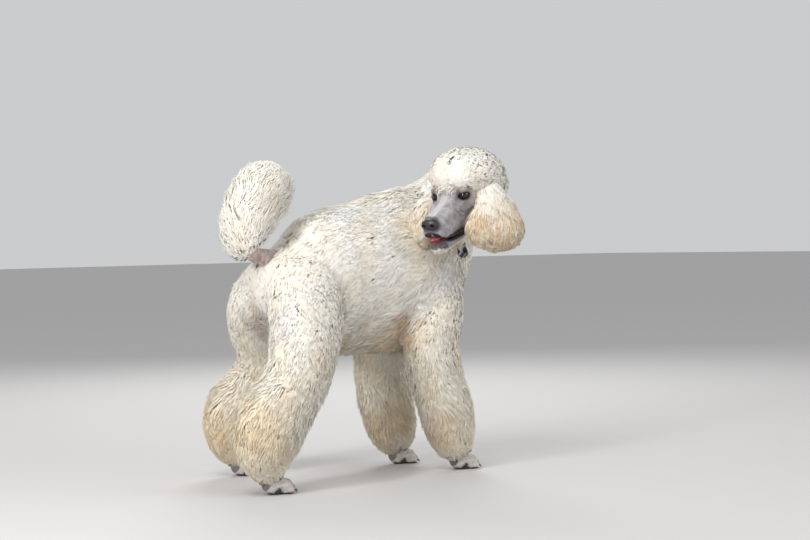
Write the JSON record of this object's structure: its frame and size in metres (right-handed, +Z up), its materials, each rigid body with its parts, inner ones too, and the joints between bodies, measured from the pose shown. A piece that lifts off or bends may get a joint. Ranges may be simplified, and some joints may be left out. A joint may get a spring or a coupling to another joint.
{
  "type": "standard poodle",
  "caption": "Life-size standing white poodle in a full curly coat, looking back over its right shoulder, with a plume tail and a collar.",
  "frame": {"origin": "middle of the bounding box's footprint, on the floor", "axes": "+X the way the body faces, +Y the dog's left side, +Z up"},
  "size_m": [0.7732, 0.5636, 0.783],
  "materials": {
    "white_coat": "dense curly coat, brushed out, white to cream",
    "ear_coat": "long wavy hair, cream to apricot",
    "short_coat": "very short hair over grey skin",
    "shaved_skin": "shaved skin with a trace of short white hair",
    "nose_leather": "moist, finely pebbled",
    "tongue_skin": "moist",
    "eye_surface": "clear, wet, dark brown",
    "claw_horn": "smooth dark horn",
    "collar_webbing": "woven, dark with a pale plain pattern"
  },
  "bodies": {
    "root": {"head": "white_coat", "torso": "white_coat", "foreleg_right": "white_coat", "thigh_right": "white_coat", "shank_right": "white_coat", "hock_right": "white_coat", "foreleg_left": "white_coat", "thigh_left": "white_coat", "shank_left": "white_coat", "hock_left": "white_coat", "tail_root": "shaved_skin", "neck": "white_coat", "tail_plume": "white_coat", "forefoot_right": "shaved_skin", "claw_forefoot_right_1": "claw_horn", "claw_forefoot_right_2": "claw_horn", "claw_forefoot_right_3": "claw_horn", "claw_forefoot_right_4": "claw_horn", "forefoot_left": "shaved_skin", "claw_forefoot_left_1": "claw_horn", "claw_forefoot_left_2": "claw_horn", "claw_forefoot_left_3": "claw_horn", "claw_forefoot_left_4": "claw_horn", "hindfoot_right": "shaved_skin", "claw_hindfoot_right_1": "claw_horn", "claw_hindfoot_right_2": "claw_horn", "claw_hindfoot_right_3": "claw_horn", "claw_hindfoot_right_4": "claw_horn", "hindfoot_left": "shaved_skin", "claw_hindfoot_left_1": "claw_horn", "claw_hindfoot_left_2": "claw_horn", "claw_hindfoot_left_3": "claw_horn", "claw_hindfoot_left_4": "claw_horn", "jaw": "short_coat", "tongue": "tongue_skin", "nose": "nose_leather", "eye_left": "eye_surface", "eye_right": "eye_surface", "ear_left": "ear_coat", "ear_right": "ear_coat", "collar": "collar_webbing"}
  },
  "joints": []
}
